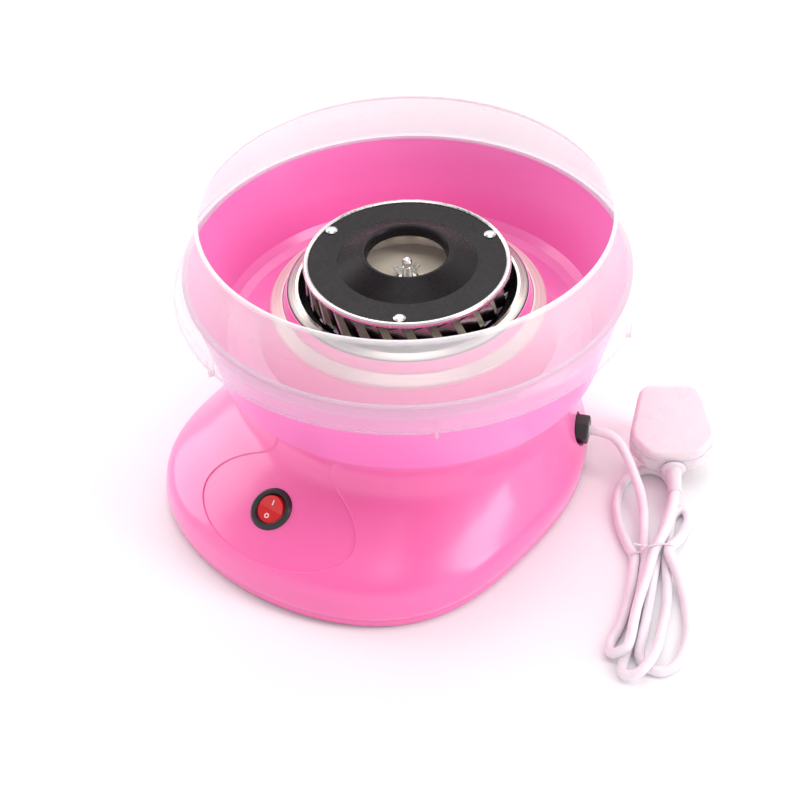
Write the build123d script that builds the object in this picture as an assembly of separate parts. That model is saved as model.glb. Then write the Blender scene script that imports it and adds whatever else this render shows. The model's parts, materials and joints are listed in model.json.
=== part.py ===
from build123d import *
import math
import os

os.makedirs("parts", exist_ok=True)

# A table-top cotton candy machine, in millimetres. +Z is up, the switch faces -Y and the feet stand
# on z = 0. Radii are from the upright bowl axis, which stands AXIS_Y behind the frame's origin.

# Driving dimensions: overall
GUARD_SKIRT_R = 138.0
GUARD_RIM_R = 120.2
GUARD_TOP_Z = 182.7
FRONT_REACH = 161.0
SIDE_R = 108.5
AXIS_Y = (FRONT_REACH - GUARD_SKIRT_R) / 2
WALL = 2.5
FIT_GAP = 0.3
RUNNING_GAP = 0.03

# Base
COVER_BOTTOM_Z = 2.0
COVER_PLATE = 2.5
SEAM_Z = 6.0
SEAM_GAP = 0.5
DECK_Z = 92.9
DECK_SPLIT_Z = 88.0
COLLAR_R = 69.4
COLLAR_TOP_Z = 126.4
LOBE_WIDTH_DEG = 59.0
LOBE_POWER = 5
OUTLINE_STEP_DEG = 10
FOOT_R = 8.0
FEET_XY = [(74, -88), (74, 64), (-74, 64), (-74, -88)]
COVER_BOSS_DEGREES = [50, 140, -140, -50]

# Switch panel on the front slope
PANEL_SLOPE_DEG = 30.3
PANEL_DEPTH = 0.6
SWITCH_X = -3.0
SWITCH_R = 127.6
SWITCH_Z = 40.0
BEZEL_R = 13.0
SWITCH_BODY_R = 9.9
ROCKER_R = 8.75
ROCKER_TILT_DEG = 10.0
ROCKER_PIVOT_Z = -1.2
ROCKER_DIP_Z = 2.4
ROCKER_END_Z = 3.6
ROCKER_HALF_LONG = 10.0

# Cord gland and cord
GLAND_DEG = 115.0
GLAND_Z = 32.9
GLAND_OUT_R = 111.5
GLAND_NUT = 9.0
CORD_R = 3.0
CLAMP_EAR = 7.5
CLAMP_R = 86.0

# Bowl
BOWL_RIM_R = 131.7
BOWL_RIM_Z = 145.0
BOWL_FOOT_R = 115.6
BOWL_FOOT_Z = 86.7
BOWL_FLOOR_Z = 95.6
BOWL_SKIN = 2.4
BOWL_CORNER_R = 109.5
BOWL_SEAT_R = 90.0
TRIM_OUT_R = 82.1
TRIM_IN_R = 74.2

# Heater cup and extractor head
CUP_RIM_R = 71.0
CUP_R = 65.6
CUP_FLOOR_Z = 98.0
CUP_RIM_Z = 129.8
HEAD_R = 61.2
RIVET_R = 54.6
RIVET_DEGREES = [34, 154, 274]
SHAFT_R = 3.0
SHAFT_TIP_Z = 147.0
MOTOR_R = 23.0
MOTOR_TOP_Z = 84.0
MOTOR_BOTTOM_Z = 32.0
PIN_Z = 109.0
BRACKET_DEGREES = [90, 210, 330]
BRACKET_REACH = 82.0
SPACER_DEGREES = [30, 150, 270]
SPACER_R = 36.0
HEATER_R = 50.0
HEATER_TUBE_R = 3.4
HEATER_Z = 109.0
HEATER_LEG_DEGREES = [170, 190]

# Plug, in its own frame: pins down, cord towards +Y. It lies on the ends of its three pins.
PLUG_ORIGIN = (137.3, 95.0)
PLUG_HEADING_DEG = 37.0
PLUG_WALL = 11.0
PLUG_COVER = 6.5
PLUG_EXIT_Z = 5.6
PLUG_NOSE = 24.0
RELIEF_START = PLUG_NOSE - 8.2
RELIEF_LENGTH = 26.0
PIN_SPREAD = 22.2
PIN_CHAMFER = 0.8
LINE_PIN_WIDE = 6.35
LINE_PIN_THICK = 3.97
LINE_PIN_LENGTH = 17.7
LINE_PINS_XY = [(-PIN_SPREAD / 2, 0), (PIN_SPREAD / 2, 0)]
EARTH_PIN_WIDE = 7.9
EARTH_PIN_LENGTH = 22.7
SLEEVE_LENGTH = 9.0
PIN_TIP_SPREAD = PIN_SPREAD - (EARTH_PIN_WIDE - LINE_PIN_THICK) / 2
PLUG_TILT = math.atan2(EARTH_PIN_LENGTH - LINE_PIN_LENGTH, PIN_TIP_SPREAD)
PLUG_LIFT = LINE_PIN_LENGTH * math.cos(PLUG_TILT) + (LINE_PIN_THICK / 2 - PIN_CHAMFER) * math.sin(PLUG_TILT)

# Tie round the cord's bundle
TIE_CENTRE = (176.0, 15.5)
TIE_HEADING_DEG = 40.0
TIE_BAND = 2.6
TIE_WIRE = 1.0

UPRIGHT = (Align.CENTER, Align.CENTER, Align.MIN)


def write(name, shape):
    """Write one sub-part, given on the bowl axis, in the frame of the whole machine."""
    place(name, Pos(0, AXIS_Y, 0) * shape)


def place(name, shape):
    """Write one sub-part that is already in the frame of the whole machine."""
    export_step(shape, f"parts/{name}.step")


def turned(points, radii=0):
    """Solid of revolution about Z from an outline of (radius, height) corners."""
    corners = [(r, 0, z) for r, z in points]
    outline = FilletPolyline(*corners, radius=radii, close=True)
    return revolve(make_face(outline), Axis.Z)


def tube(outer, inner, z_low, z_high):
    """Upright round tube, or a disc when the inner radius is 0."""
    body = Pos(0, 0, z_low) * Cylinder(outer, z_high - z_low, align=UPRIGHT)
    if inner > 0:
        body -= Pos(0, 0, z_low - 1) * Cylinder(inner, z_high - z_low + 2, align=UPRIGHT)
    return body


def block(x_low, x_high, y_low, y_high, z_low, z_high):
    """Square block between its corners."""
    return Pos(x_low, y_low, z_low) * Box(x_high - x_low, y_high - y_low, z_high - z_low, align=Align.MIN)


def around(degrees, radius, shape):
    """Copies of a shape, each turned about the bowl axis and moved out to a radius, as one group."""
    return Compound([Rot(0, 0, angle - 90) * Pos(radius, 0, 0) * shape for angle in degrees])


def at_points(points, shape):
    """Copies of a shape at plan positions, as one group."""
    return Compound([Pos(x, y, 0) * shape for x, y in points])


def sweep_round(points, radius, bends):
    """Round rod or wire along straight runs joined by arcs."""
    path = FilletPolyline(*points, radius=bends)
    return sweep(Plane(path @ 0, z_dir=path % 0) * Circle(radius), path)


def outline_radius(degrees, side, reach):
    """Radius of the base's outline at an angle from the front, for one side radius and front reach."""
    return side + (reach - side) / (1 + (abs(degrees) / LOBE_WIDTH_DEG) ** LOBE_POWER)


def cover_bosses_xy():
    """Plan positions of the cover's screw bosses, each let into the inside of the wall."""
    side, reach = SIDE_R - 2.2, FRONT_REACH - 4.6
    points = []
    for degrees in COVER_BOSS_DEGREES:
        r = outline_radius(degrees, side, reach) - WALL - 3.6
        points.append((r * math.sin(math.radians(degrees)), -r * math.cos(math.radians(degrees))))
    return points


def base_outline(z, side, reach):
    """Closed curve round the base at one height."""
    points = []
    for degrees in range(-180, 180, OUTLINE_STEP_DEG):
        angle = math.radians(degrees)
        r = outline_radius(degrees, side, reach)
        points.append((r * math.sin(angle), -r * math.cos(angle), z))
    return Wire(Spline(*points, periodic=True))


# Height, side radius and front reach of the base's outside, from the foot to the neck.
BASE_SECTIONS = [
    (SEAM_Z + SEAM_GAP, SIDE_R - 1.2, FRONT_REACH - 1.0),
    (13.0, SIDE_R, FRONT_REACH),
    (20.0, SIDE_R - 0.8, FRONT_REACH - 1.4),
    (25.0, SIDE_R - 2.2, FRONT_REACH - 4.6),
    (29.0, SIDE_R - 3.6, FRONT_REACH - 10.5),
    (36.0, SIDE_R - 5.2, 137.5),
    (44.0, SIDE_R - 6.2, 123.7),
    (50.0, SIDE_R - 6.7, 113.6),
    (55.0, SIDE_R - 7.0, 106.6),
    (60.0, SIDE_R - 7.0, 103.4),
    (66.0, SIDE_R - 7.0, 101.6),
    (74.0, SIDE_R - 5.2, 103.3),
    (84.0, SIDE_R - 1.6, 106.9),
    (DECK_Z, SIDE_R - 0.4, 108.1),
]


def base_loft(inset, drop, top):
    """The base's outer form, or its hollow when inset and dropped by a wall."""
    rings = [base_outline(z - drop, side - inset, reach - inset) for z, side, reach in BASE_SECTIONS[:-1]]
    side, reach = BASE_SECTIONS[-1][1:]
    rings.append(base_outline(top, side - inset, reach - inset))
    return Solid.make_loft(rings)


def foot_plate(inset, z_low, z_high):
    """Flat plate with the outline of the base's foot."""
    side, reach = BASE_SECTIONS[0][1:]
    return extrude(make_face(base_outline(z_low, side - inset, reach - inset)), z_high - z_low, dir=(0, 0, 1))


SWITCH_PLANE = Plane(
    origin=(SWITCH_X, -SWITCH_R, SWITCH_Z),
    x_dir=(1, 0, 0),
    z_dir=(0, -math.sin(math.radians(PANEL_SLOPE_DEG)), math.cos(math.radians(PANEL_SLOPE_DEG))),
)
GLAND_OUTWARD = Vector(math.sin(math.radians(GLAND_DEG)), -math.cos(math.radians(GLAND_DEG)), 0)
GLAND_PLANE = Plane(origin=GLAND_OUTWARD * GLAND_OUT_R + Vector(0, 0, GLAND_Z), z_dir=GLAND_OUTWARD)
CLAMP_PLANE = Plane(
    origin=GLAND_OUTWARD * CLAMP_R + Vector(0, 0, GLAND_Z),
    x_dir=GLAND_OUTWARD.rotate(Axis.Z, 90),
    z_dir=(0, 0, 1),
)


def panel_cutter():
    """Oval form over the switch panel, widening upwards so that the recess has a sloping edge."""
    half_long, half_wide, shift_x, shift_y, rise = 60.0, 31.0, 3.0, 1.0, 15.0
    low = Pos(0, 0, -rise) * Ellipse(half_long - rise, half_wide - rise)
    high = Pos(0, 0, rise) * Ellipse(half_long + rise, half_wide + rise)
    return SWITCH_PLANE * Pos(shift_x, shift_y, 0) * loft([low, high])


def base_moulding():
    """Moulded shell with its sloping switch panel, flat deck, cup collar and screw bosses."""
    boss_r, boss_drop = 5.0, 0.4
    shell = base_loft(0, 0, DECK_Z)
    shell -= panel_cutter() - base_loft(PANEL_DEPTH, PANEL_DEPTH, DECK_Z - PANEL_DEPTH)
    shell -= base_loft(WALL, 2.2, DECK_Z - WALL)
    shell -= foot_plate(WALL, 0, 9)
    collar = tube(COLLAR_R, COLLAR_R - WALL, DECK_Z - WALL, COLLAR_TOP_Z)
    shell = shell - tube(COLLAR_R - WALL, 0, DECK_Z - 10, DECK_Z + 10) + collar
    spot = SWITCH_PLANE * Cylinder(BEZEL_R + 0.2, 20, align=UPRIGHT)
    seat = SWITCH_PLANE * Pos(0, 0, -WALL) * Cylinder(BEZEL_R + 2, WALL, align=UPRIGHT)
    switch_hole = SWITCH_PLANE * Cylinder(SWITCH_BODY_R + 0.1, 30)
    shell = shell + seat - spot - switch_hole
    for x, y in cover_bosses_xy():
        shell += Pos(x, y, 0) * tube(boss_r, 0, SEAM_Z + 3, 22)
        shell -= Pos(x, y, 0) * tube(1.3, 0, SEAM_Z, 20)
    for angle in BRACKET_DEGREES:
        hanger = Rot(0, 0, angle - 90) * Pos(BRACKET_REACH, 0, 0)
        shell += hanger * tube(6, 0, MOTOR_TOP_Z + 4.2, DECK_Z - 1)
        shell -= hanger * tube(1.3, 0, MOTOR_TOP_Z, DECK_Z - 1 - boss_drop)
    gland_hole = GLAND_PLANE * Cylinder(6.1, 60)
    gland_seat = GLAND_PLANE * Pos(0, 0, -GLAND_NUT) * Cylinder(10.4, 20, align=UPRIGHT)
    return shell - gland_hole - gland_seat


def slab(z_low, z_high):
    """Wide flat block that keeps one storey of the base's moulding."""
    half = FRONT_REACH + 20
    return block(-half, half, -half, half, z_low, z_high)


def bottom_cover():
    """Flat cover with vent slots, foot holes and screw counterbores, and a lip inside the shell."""
    slot_long, slot_wide, slot_pitch, slot_rows = 34, 4, 9, 5
    plate = foot_plate(0.3, COVER_BOTTOM_Z, SEAM_Z)
    plate -= foot_plate(WALL + 2.6, COVER_BOTTOM_Z + COVER_PLATE, SEAM_Z + 1)
    lip = foot_plate(WALL + FIT_GAP, SEAM_Z, SEAM_Z + 2.5) - foot_plate(WALL + 2.6, SEAM_Z - 1, SEAM_Z + 4)
    for x, y in cover_bosses_xy():
        plate += Pos(x, y, 0) * tube(7, 0, COVER_BOTTOM_Z, SEAM_Z)
        lip -= Pos(x, y, 0) * tube(7.5, 0, SEAM_Z - 1, SEAM_Z + 4)
    plate += lip
    for x, y in cover_bosses_xy():
        plate -= Pos(x, y, 0) * tube(1.8, 0, 0, 20)
        plate -= Pos(x, y, 0) * tube(3.6, 0, 0, COVER_BOTTOM_Z + 1.5)
    for side in (-1, 1):
        for row in range(slot_rows):
            y = (row - (slot_rows - 1) / 2) * slot_pitch
            slot = extrude(SlotOverall(slot_long, slot_wide), 12)
            plate -= Pos(side * 30, y, -2) * slot
    for x, y in FEET_XY:
        plate -= Pos(x, y, 0) * tube(3.1, 0, 0, 20)
    return plate


def rubber_feet():
    """Four soft pads, each with a stem and a barb through the cover."""
    pad = turned([(0, 0), (FOOT_R - 1, 0), (FOOT_R, 1), (FOOT_R - 0.5, 2), (3, 2), (3, 4.7), (4, 4.9),
                  (2.4, 6.6), (0, 6.6)])
    return at_points(FEET_XY, pad)


def screw(head_r, shank_r, length):
    """Pan-head screw with a cross recess: shank down from z = 0, head above."""
    head_h = head_r * 0.8
    body = turned([(0, -length), (shank_r * 0.6, -length), (shank_r, -length + 1), (shank_r, 0), (head_r, 0),
                   (head_r, head_h * 0.5), (head_r * 0.6, head_h), (0, head_h)])
    for angle in (0, 90):
        body -= Rot(0, 0, angle) * Pos(0, 0, head_h) * Box(head_r * 1.1, head_r * 0.28, head_h)
    return body


def cover_screws():
    """Four screws that hold the bottom cover, heads down in the counterbores."""
    upright = Pos(0, 0, COVER_BOTTOM_Z + 1.5) * Rot(180, 0, 0) * screw(3.2, 1.25, 14)
    recessed = upright - tube(5, 0, -5, 0.2)
    return at_points(cover_bosses_xy(), recessed)


def panhead_screws():
    """The alike inner screws: three into the housing's hangers, three in the cup, two in the cord clamp."""
    one = screw(2.8, 1.25, 8)
    bracket = around(BRACKET_DEGREES, BRACKET_REACH, Pos(0, 0, MOTOR_TOP_Z - 2.1) * Rot(180, 0, 0) * one)
    cup = around(SPACER_DEGREES, SPACER_R, Pos(0, 0, CUP_FLOOR_Z + 0.05) * one)
    clamp = Compound([CLAMP_PLANE * Pos(x, 0, 4.05) * one for x in (-CLAMP_EAR, CLAMP_EAR)])
    return Compound(list(bracket) + list(cup) + list(clamp))


def motor_can():
    """Drawn steel can of the motor, open at the bottom."""
    skin = 1.2
    can = tube(MOTOR_R, 0, MOTOR_BOTTOM_Z, MOTOR_TOP_Z)
    can -= tube(MOTOR_R - skin, 0, MOTOR_BOTTOM_Z - 1, MOTOR_TOP_Z - skin)
    return can - tube(6.1, 0, MOTOR_TOP_Z - 5, MOTOR_TOP_Z + 5)


def motor_end_cap():
    """Moulded cap that closes the can and carries the lower bush and the brushes."""
    cap = tube(MOTOR_R - 0.2, 0, MOTOR_BOTTOM_Z - 4, MOTOR_BOTTOM_Z - 0.1)
    cap += tube(8, 0, MOTOR_BOTTOM_Z - 8, MOTOR_BOTTOM_Z - 4)
    cap -= tube(6.1, 0, MOTOR_BOTTOM_Z - 6, MOTOR_BOTTOM_Z + 1)
    return cap - tube(SHAFT_R + 0.5, 0, MOTOR_BOTTOM_Z - 7, MOTOR_BOTTOM_Z + 1)


def motor_bushes():
    """Upper and lower sintered bushes that the shaft turns in."""
    bore = SHAFT_R + RUNNING_GAP
    upper = tube(6.0, bore, MOTOR_TOP_Z - 5, MOTOR_TOP_Z)
    lower = tube(6.0, bore, MOTOR_BOTTOM_Z - 5.9, MOTOR_BOTTOM_Z - 0.5)
    return Compound([upper, lower])


def motor_magnets():
    """Two curved magnets inside the can."""
    ring = tube(MOTOR_R - 1.5, MOTOR_R - 4.2, 42, 78)
    gap = block(-30, 30, -7, 7, 40, 80)
    return Compound((ring - gap).solids())


def motor_brushes():
    """Two carbon brushes in line across the commutator."""
    brush = block(8.3, 15, -2, 2, 34.5, 39)
    return Compound([brush, Rot(0, 0, 180) * brush])


def motor_bracket():
    """Pressed plate with three arms that hang the motor from the deck."""
    plate_z, plate = MOTOR_TOP_Z, 1.6
    body = tube(28, 0, plate_z, plate_z + plate)
    for angle in BRACKET_DEGREES:
        arm = block(0, BRACKET_REACH, -8, 8, plate_z, plate_z + plate)
        arm += Pos(BRACKET_REACH, 0, 0) * tube(8, 0, plate_z, plate_z + plate)
        arm -= Pos(BRACKET_REACH, 0, 0) * tube(4.1, 0, plate_z - 1, plate_z + 4)
        body += Rot(0, 0, angle - 90) * arm
    for angle in SPACER_DEGREES:
        ear = block(0, SPACER_R, -6, 6, plate_z, plate_z + plate)
        ear += Pos(SPACER_R, 0, 0) * tube(6, 0, plate_z, plate_z + plate)
        body += Rot(0, 0, angle - 90) * ear
    return body - tube(8, 0, plate_z - 1, plate_z + 5)


def motor_grommets():
    """Rubber rings that isolate the bracket's arms from the housing's hangers."""
    z = MOTOR_TOP_Z
    ring = turned([(1.5, z - 2), (7, z - 2), (7, z - 0.1), (3.9, z - 0.1), (3.9, z + 1.7), (7, z + 1.7),
                   (7, z + 4.1), (1.5, z + 4.1)])
    return around(BRACKET_DEGREES, BRACKET_REACH, ring)


def cup_spacers():
    """Three threaded posts between the bracket and the cup's floor."""
    post = tube(4, 1.3, MOTOR_TOP_Z + 1.6, CUP_FLOOR_Z - 1.0)
    return around(SPACER_DEGREES, SPACER_R, post)


def heat_shield_cup():
    """Spun aluminium cup round the head, with the flat rim that shows round the head."""
    skin = 1.0
    flange_z = COLLAR_TOP_Z + 0.2
    cup = turned([(9, CUP_FLOOR_Z - skin), (CUP_R, CUP_FLOOR_Z - skin), (CUP_R, flange_z),
                  (CUP_RIM_R - 0.4, flange_z), (CUP_RIM_R, flange_z + 0.6), (CUP_RIM_R, flange_z + 1.4),
                  (CUP_R + 0.9, CUP_RIM_Z), (CUP_R - skin + 0.2, CUP_RIM_Z), (CUP_R - skin, CUP_RIM_Z - 0.8),
                  (CUP_R - skin, CUP_FLOOR_Z), (9, CUP_FLOOR_Z)])
    for angle in SPACER_DEGREES:
        cup -= Rot(0, 0, angle - 90) * Pos(SPACER_R, 0, 0) * tube(1.5, 0, 90, 110)
    for angle in HEATER_LEG_DEGREES:
        cup -= Rot(0, 0, angle - 90) * Pos(HEATER_R, 0, 0) * tube(5.1, 0, 90, 110)
    return cup


def heater_ring():
    """Sheathed heating element: most of a ring, with two legs down through the cup's floor."""
    start, sweep_deg = HEATER_LEG_DEGREES[1] - 90, 340
    ring = Pos(0, 0, HEATER_Z) * Rot(0, 0, start) * Torus(HEATER_R, HEATER_TUBE_R, major_angle=sweep_deg)
    for angle in HEATER_LEG_DEGREES:
        elbow = Rot(0, 0, angle - 90) * Pos(HEATER_R, 0, HEATER_Z) * Sphere(HEATER_TUBE_R)
        leg = Rot(0, 0, angle - 90) * Pos(HEATER_R, 0, 0) * tube(HEATER_TUBE_R, 0, 88, HEATER_Z)
        ring += elbow + leg
    return ring


def heater_insulators():
    """Ceramic posts under the element."""
    low, high = CUP_FLOOR_Z + 0.02, HEATER_Z - HEATER_TUBE_R - 0.1
    post = turned([(0, low), (6, low), (6, low + 2), (3.5, low + 3), (3.5, high), (0, high)])
    return around([20, 90, 270, 340], HEATER_R, post)


def heater_bushes():
    """Ceramic sleeves round the element's legs where they pass the cup's floor."""
    low, high = CUP_FLOOR_Z - 6, CUP_FLOOR_Z + 3
    sleeve = tube(4.9, HEATER_TUBE_R + 0.1, low, high)
    sleeve += tube(6.5, HEATER_TUBE_R + 0.1, CUP_FLOOR_Z + 0.05, CUP_FLOOR_Z + 1.5)
    return around(HEATER_LEG_DEGREES, HEATER_R, sleeve)


def heater_tags():
    """Spade terminals on the ends of the element's legs."""
    tag = block(-3.1, 3.1, -0.4, 0.4, 78, 88) - Pos(0, 0, 81) * Rot(90, 0, 0) * Cylinder(0.8, 4)
    return around(HEATER_LEG_DEGREES, HEATER_R, tag)


def thermal_cutout():
    """Round thermostat under the cup's floor, with its two terminals."""
    top = CUP_FLOOR_Z - 1.05
    body = tube(8, 0, top - 6, top) + tube(6, 0, top - 9, top - 6)
    for side in (-1, 1):
        body += block(side * 4 - 1.5, side * 4 + 1.5, -0.4, 0.4, top - 15, top - 8.5)
    return Pos(0, -50, 0) * body


def switch_body():
    """Round snap-in switch case with its wide bezel, open at the front for the rocker."""
    mouth_r, mouth_depth, rim_h = ROCKER_R + 0.25, 7.0, 2.2
    case = turned([(0, -18), (SWITCH_BODY_R, -18), (SWITCH_BODY_R, 0.02), (BEZEL_R, 0.02),
                   (BEZEL_R, 0.9), (BEZEL_R - 1.4, rim_h), (mouth_r + 0.9, rim_h),
                   (mouth_r, rim_h - 0.9), (mouth_r, -mouth_depth), (0, -mouth_depth)])
    return SWITCH_PLANE * case


def switch_pivot():
    """Steel pin that the rocker turns on, across the switch case."""
    pin = Rot(0, 90, 0) * Cylinder(0.9, 2 * ROCKER_R + 0.4)
    return SWITCH_PLANE * Pos(0, 0, ROCKER_PIVOT_Z) * pin


def rocker_form():
    """The rocker in its own frame, level: a shallow vee on top, round in plan, clear of the mouth."""
    low, reach = -3.6, ROCKER_HALF_LONG
    profile = Polyline((0, -reach, low), (0, -reach, ROCKER_END_Z), (0, 0, ROCKER_DIP_Z),
                       (0, reach, ROCKER_END_Z), (0, reach, low), close=True)
    wedge = extrude(make_face(profile), 12, dir=(1, 0, 0), both=True)
    return Sphere(ROCKER_R) & wedge


def rocker_posed(shape):
    """Put a rocker piece on its pivot, tilted to the off side."""
    return SWITCH_PLANE * Pos(0, 0, ROCKER_PIVOT_Z) * Rot(ROCKER_TILT_DEG, 0, 0) * shape


def rocker():
    """Red translucent rocker with the bore for its pin."""
    bore = Rot(0, 90, 0) * Cylinder(0.9 + RUNNING_GAP, 30)
    return rocker_posed(rocker_form() - bore - rocker_mark_solids(0.02))


def rocker_mark_solids(gap):
    """The plain on and off symbols inlaid in the rocker's two faces."""
    depth, middle = 0.35, 4.2
    rise = (ROCKER_END_Z - ROCKER_DIP_Z) / ROCKER_HALF_LONG
    face_deg = math.degrees(math.atan(rise))
    inlay_z = ROCKER_DIP_Z + middle * rise
    bar = Box(0.7 + gap, 3.0 + gap, depth)
    ring = Cylinder(1.5 + gap, depth) - Cylinder(0.9 - gap, depth)
    on_mark = Pos(0, middle, inlay_z) * Rot(face_deg, 0, 0) * bar
    off_mark = Pos(0, -middle, inlay_z) * Rot(-face_deg, 0, 0) * ring
    return Compound(on_mark.solids() + off_mark.solids())


def switch_terminals():
    """Three spade terminals at the back of the switch."""
    blade = Box(4.8, 0.8, 9, align=(Align.CENTER, Align.CENTER, Align.MAX))
    blades = [SWITCH_PLANE * Pos(0, y, -18.02) * blade for y in (-6, 0, 6)]
    return Compound(blades)


def cord_gland():
    """Hexagonal strain-relief gland through the housing wall."""
    hexagon = extrude(RegularPolygon(9.0, 6), FIT_GAP / 3 - GLAND_NUT)
    nut = GLAND_PLANE * chamfer(hexagon.edges().filter_by(Axis.Z, reverse=True), 0.8)
    stem = GLAND_PLANE * Pos(0, 0, -20) * Cylinder(6, 12, align=UPRIGHT)
    bore = GLAND_PLANE * Cylinder(CORD_R + 0.15, 60)
    return nut + stem - bore


def cord_inner():
    """The cord's end inside the base, through the gland and the clamp."""
    length = GLAND_OUT_R - CLAMP_R + 8
    return GLAND_PLANE * Pos(0, 0, -length) * Cylinder(CORD_R, length, align=UPRIGHT)


def cord_clamp():
    """Saddle over the cord inside the housing, with two screw ears."""
    saddle = Pos(0, 0, 2) * Box(22, 8, 2, align=UPRIGHT)
    saddle += Rot(90, 0, 0) * Cylinder(CORD_R + 2, 8)
    saddle -= Rot(90, 0, 0) * Cylinder(CORD_R + 0.15, 12)
    saddle -= Box(30, 12, 8, align=(Align.CENTER, Align.CENTER, Align.MAX))
    for x in (-CLAMP_EAR, CLAMP_EAR):
        saddle -= Pos(x, 0, 0) * tube(1.5, 0, -2, 6)
    return CLAMP_PLANE * saddle


def clamp_block():
    """Block under the cord that the clamp's screws bite into, standing on the cover."""
    body = block(-11, 11, -4, 4, SEAM_Z - 1.4 - GLAND_Z, 1.9)
    body -= Rot(90, 0, 0) * Cylinder(CORD_R + 0.15, 12)
    body -= Box(2 * CORD_R + 4.4, 12, 8, align=UPRIGHT)
    for x in (-CLAMP_EAR, CLAMP_EAR):
        body -= Pos(x, 0, 0) * tube(1.3, 0, -6, 6)
    return CLAMP_PLANE * body


def rectifier_board():
    """Circuit board that feeds the motor, on four stand-offs."""
    board = block(-66, -26, 20, 52, 14, 15.6)
    for x in (-62, -30):
        for y in (24, 48):
            board += Pos(x, y, 0) * tube(2.5, 0, COVER_BOTTOM_Z + COVER_PLATE + 0.05, 14)
    return board


def board_components():
    """Four diodes and a capacitor on the board."""
    diode = Rot(0, 90, 0) * Cylinder(2.2, 8)
    pieces = [Pos(-60 + 9 * i, 28, 17.9) * diode for i in range(0, 4, 2)]
    pieces += [Pos(-60 + 9 * i, 34, 17.9) * diode for i in range(0, 4, 2)]
    pieces.append(Pos(-36, 44, 0) * tube(5, 0, 15.65, 28))
    return Compound(pieces)


def terminal_block():
    """Three-way block that joins the cord, switch and heater wires."""
    body = block(28, 58, 40, 56, COVER_BOTTOM_Z + COVER_PLATE + 0.05, 18)
    for x in (33, 43, 53):
        body -= Pos(x, 48, 0) * tube(2, 0, 12, 20)
    return body


def inner_wires():
    """Insulated wires between the cord, terminal block, switch, board and heater."""
    wire_r, bend = 1.1, 5.0
    to_block = [(69, 33.3, 32.6), (58, 32, 30), (52, 36, 14)]
    routes = [
        [(33, 39.5, 12), (33, 20, 12), (10, -40, 20), (0, -84, 22)],
        [(43, 56.5, 12), (43, 66, 12), (20, 70, 30), (9, 52, 70), (8.7, 49.2, 77)],
        [(-27, 19, 18), (-27, 8, 20), (-16, 0, 22.5)],
    ]
    return Compound([sweep_round(points, wire_r, bend) for points in [to_block] + routes])


def motor_shaft():
    """Steel shaft up through the motor and the cup into the head, with a rounded, grooved tip."""
    foot, tip, neck = MOTOR_BOTTOM_Z - 6, SHAFT_TIP_Z, SHAFT_R - 0.7
    shaft = turned([(0, foot), (SHAFT_R, foot), (SHAFT_R, tip - 5.5), (neck, tip - 5), (neck, tip - 3.8),
                    (SHAFT_R, tip - 3.3), (SHAFT_R, tip - 2), (SHAFT_R - 0.9, tip - 0.6),
                    (SHAFT_R - 2, tip), (0, tip)])
    return shaft - Pos(0, 0, PIN_Z) * Rot(0, 90, 0) * Cylinder(1.01, 20)


def drive_pin():
    """Cross pin that drives the head's hub."""
    return Pos(0, 0, PIN_Z) * Rot(0, 90, 0) * Cylinder(1.0, 15)


def armature_core():
    """Slotted lamination stack."""
    core = tube(18.2, SHAFT_R + 0.02, 46, 74)
    for index in range(5):
        core -= Rot(0, 0, index * 72) * block(9, 20, -1.4, 1.4, 40, 80)
    return core


def armature_windings():
    """Copper end turns over and under the lamination stack."""
    profile = [(6.6, 74.1), (15, 74.1), (15, 78), (12, 80.5), (6.6, 80.5)]
    upper = turned(profile)
    lower = turned([(r, 120 - z) for r, z in profile])
    return Compound([upper, lower])


def commutator():
    """Ring of copper bars at the lower end of the armature, on the shaft."""
    ring = tube(8.0, SHAFT_R + 0.02, 34, 39)
    for index in range(5):
        ring -= Rot(0, 0, index * 72) * block(6, 9, -0.4, 0.4, 33, 41)
    return ring


def sugar_pan():
    """Brushed dish that holds the sugar: a raised disc in the middle, and a lower ring out to its rim."""
    top = [(56.4, 126.5), (56.4, 123.2), (52.2, 123.2), (39.0, 126.2), (37.6, 129.6), (36.2, 130.9),
           (12.2, 131.7), (7.1, 131.7)]
    under = [(7.1, 130.5), (12, 130.5), (35.4, 129.7), (36.5, 128.8), (38.0, 125.2), (52, 122),
             (56.0, 122), (57.4, 123.4), (57.4, 126.5)]
    return turned(under + top)


def head_hub():
    """Hub under the dish, bored for the shaft and slotted for the drive pin."""
    bore = SHAFT_R + RUNNING_GAP
    hub = turned([(bore, PIN_Z - 1.2), (7, PIN_Z - 1.2), (7, 127.5), (11, 127.5), (11, 130.45), (7, 130.45),
                  (7, 132.4), (bore, 132.4)])
    return hub - block(-12, 12, -1.25, 1.25, PIN_Z - 5, PIN_Z + 1.3)


def hub_clip():
    """Sprung wire-form clip over the hub: a collar with four raised wings that lead the shaft in."""
    collar = tube(5.2, SHAFT_R + 0.35, 132.45, 134.2)
    wing_profile = Polyline((3.6, 0, 134.0), (4.6, 0, 133.2), (9.8, 0, 136.6), (9.2, 0, 137.5), close=True)
    wing = extrude(make_face(wing_profile), 1.9, dir=(0, 1, 0), both=True)
    for index in range(4):
        collar += Rot(0, 0, index * 90) * wing
    return collar


def louvre_band():
    """Slotted band round the head: two hoops joined by slanted vanes that fling the sugar out."""
    vane_count, outer, inner = 26, 59.4, 58.4
    low, high = 124.0, 144.1
    band = tube(outer, inner, low, low + 2.6) + tube(outer, inner, high - 2.2, high)
    vane = Box(0.9, 8.6, high - low - 4.0)
    vanes = []
    for index in range(vane_count):
        turn = Rot(0, 0, index * 360 / vane_count)
        seat = Pos(outer - 0.75, 0, (low + high) / 2 - 0.4)
        vanes.append(turn * seat * Rot(24, 0, 0) * Rot(0, 0, -14) * vane)
    keep = tube(outer + 0.9, inner - 0.7, low, high - 1.3)
    return band + (Compound(vanes) & keep)


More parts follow.
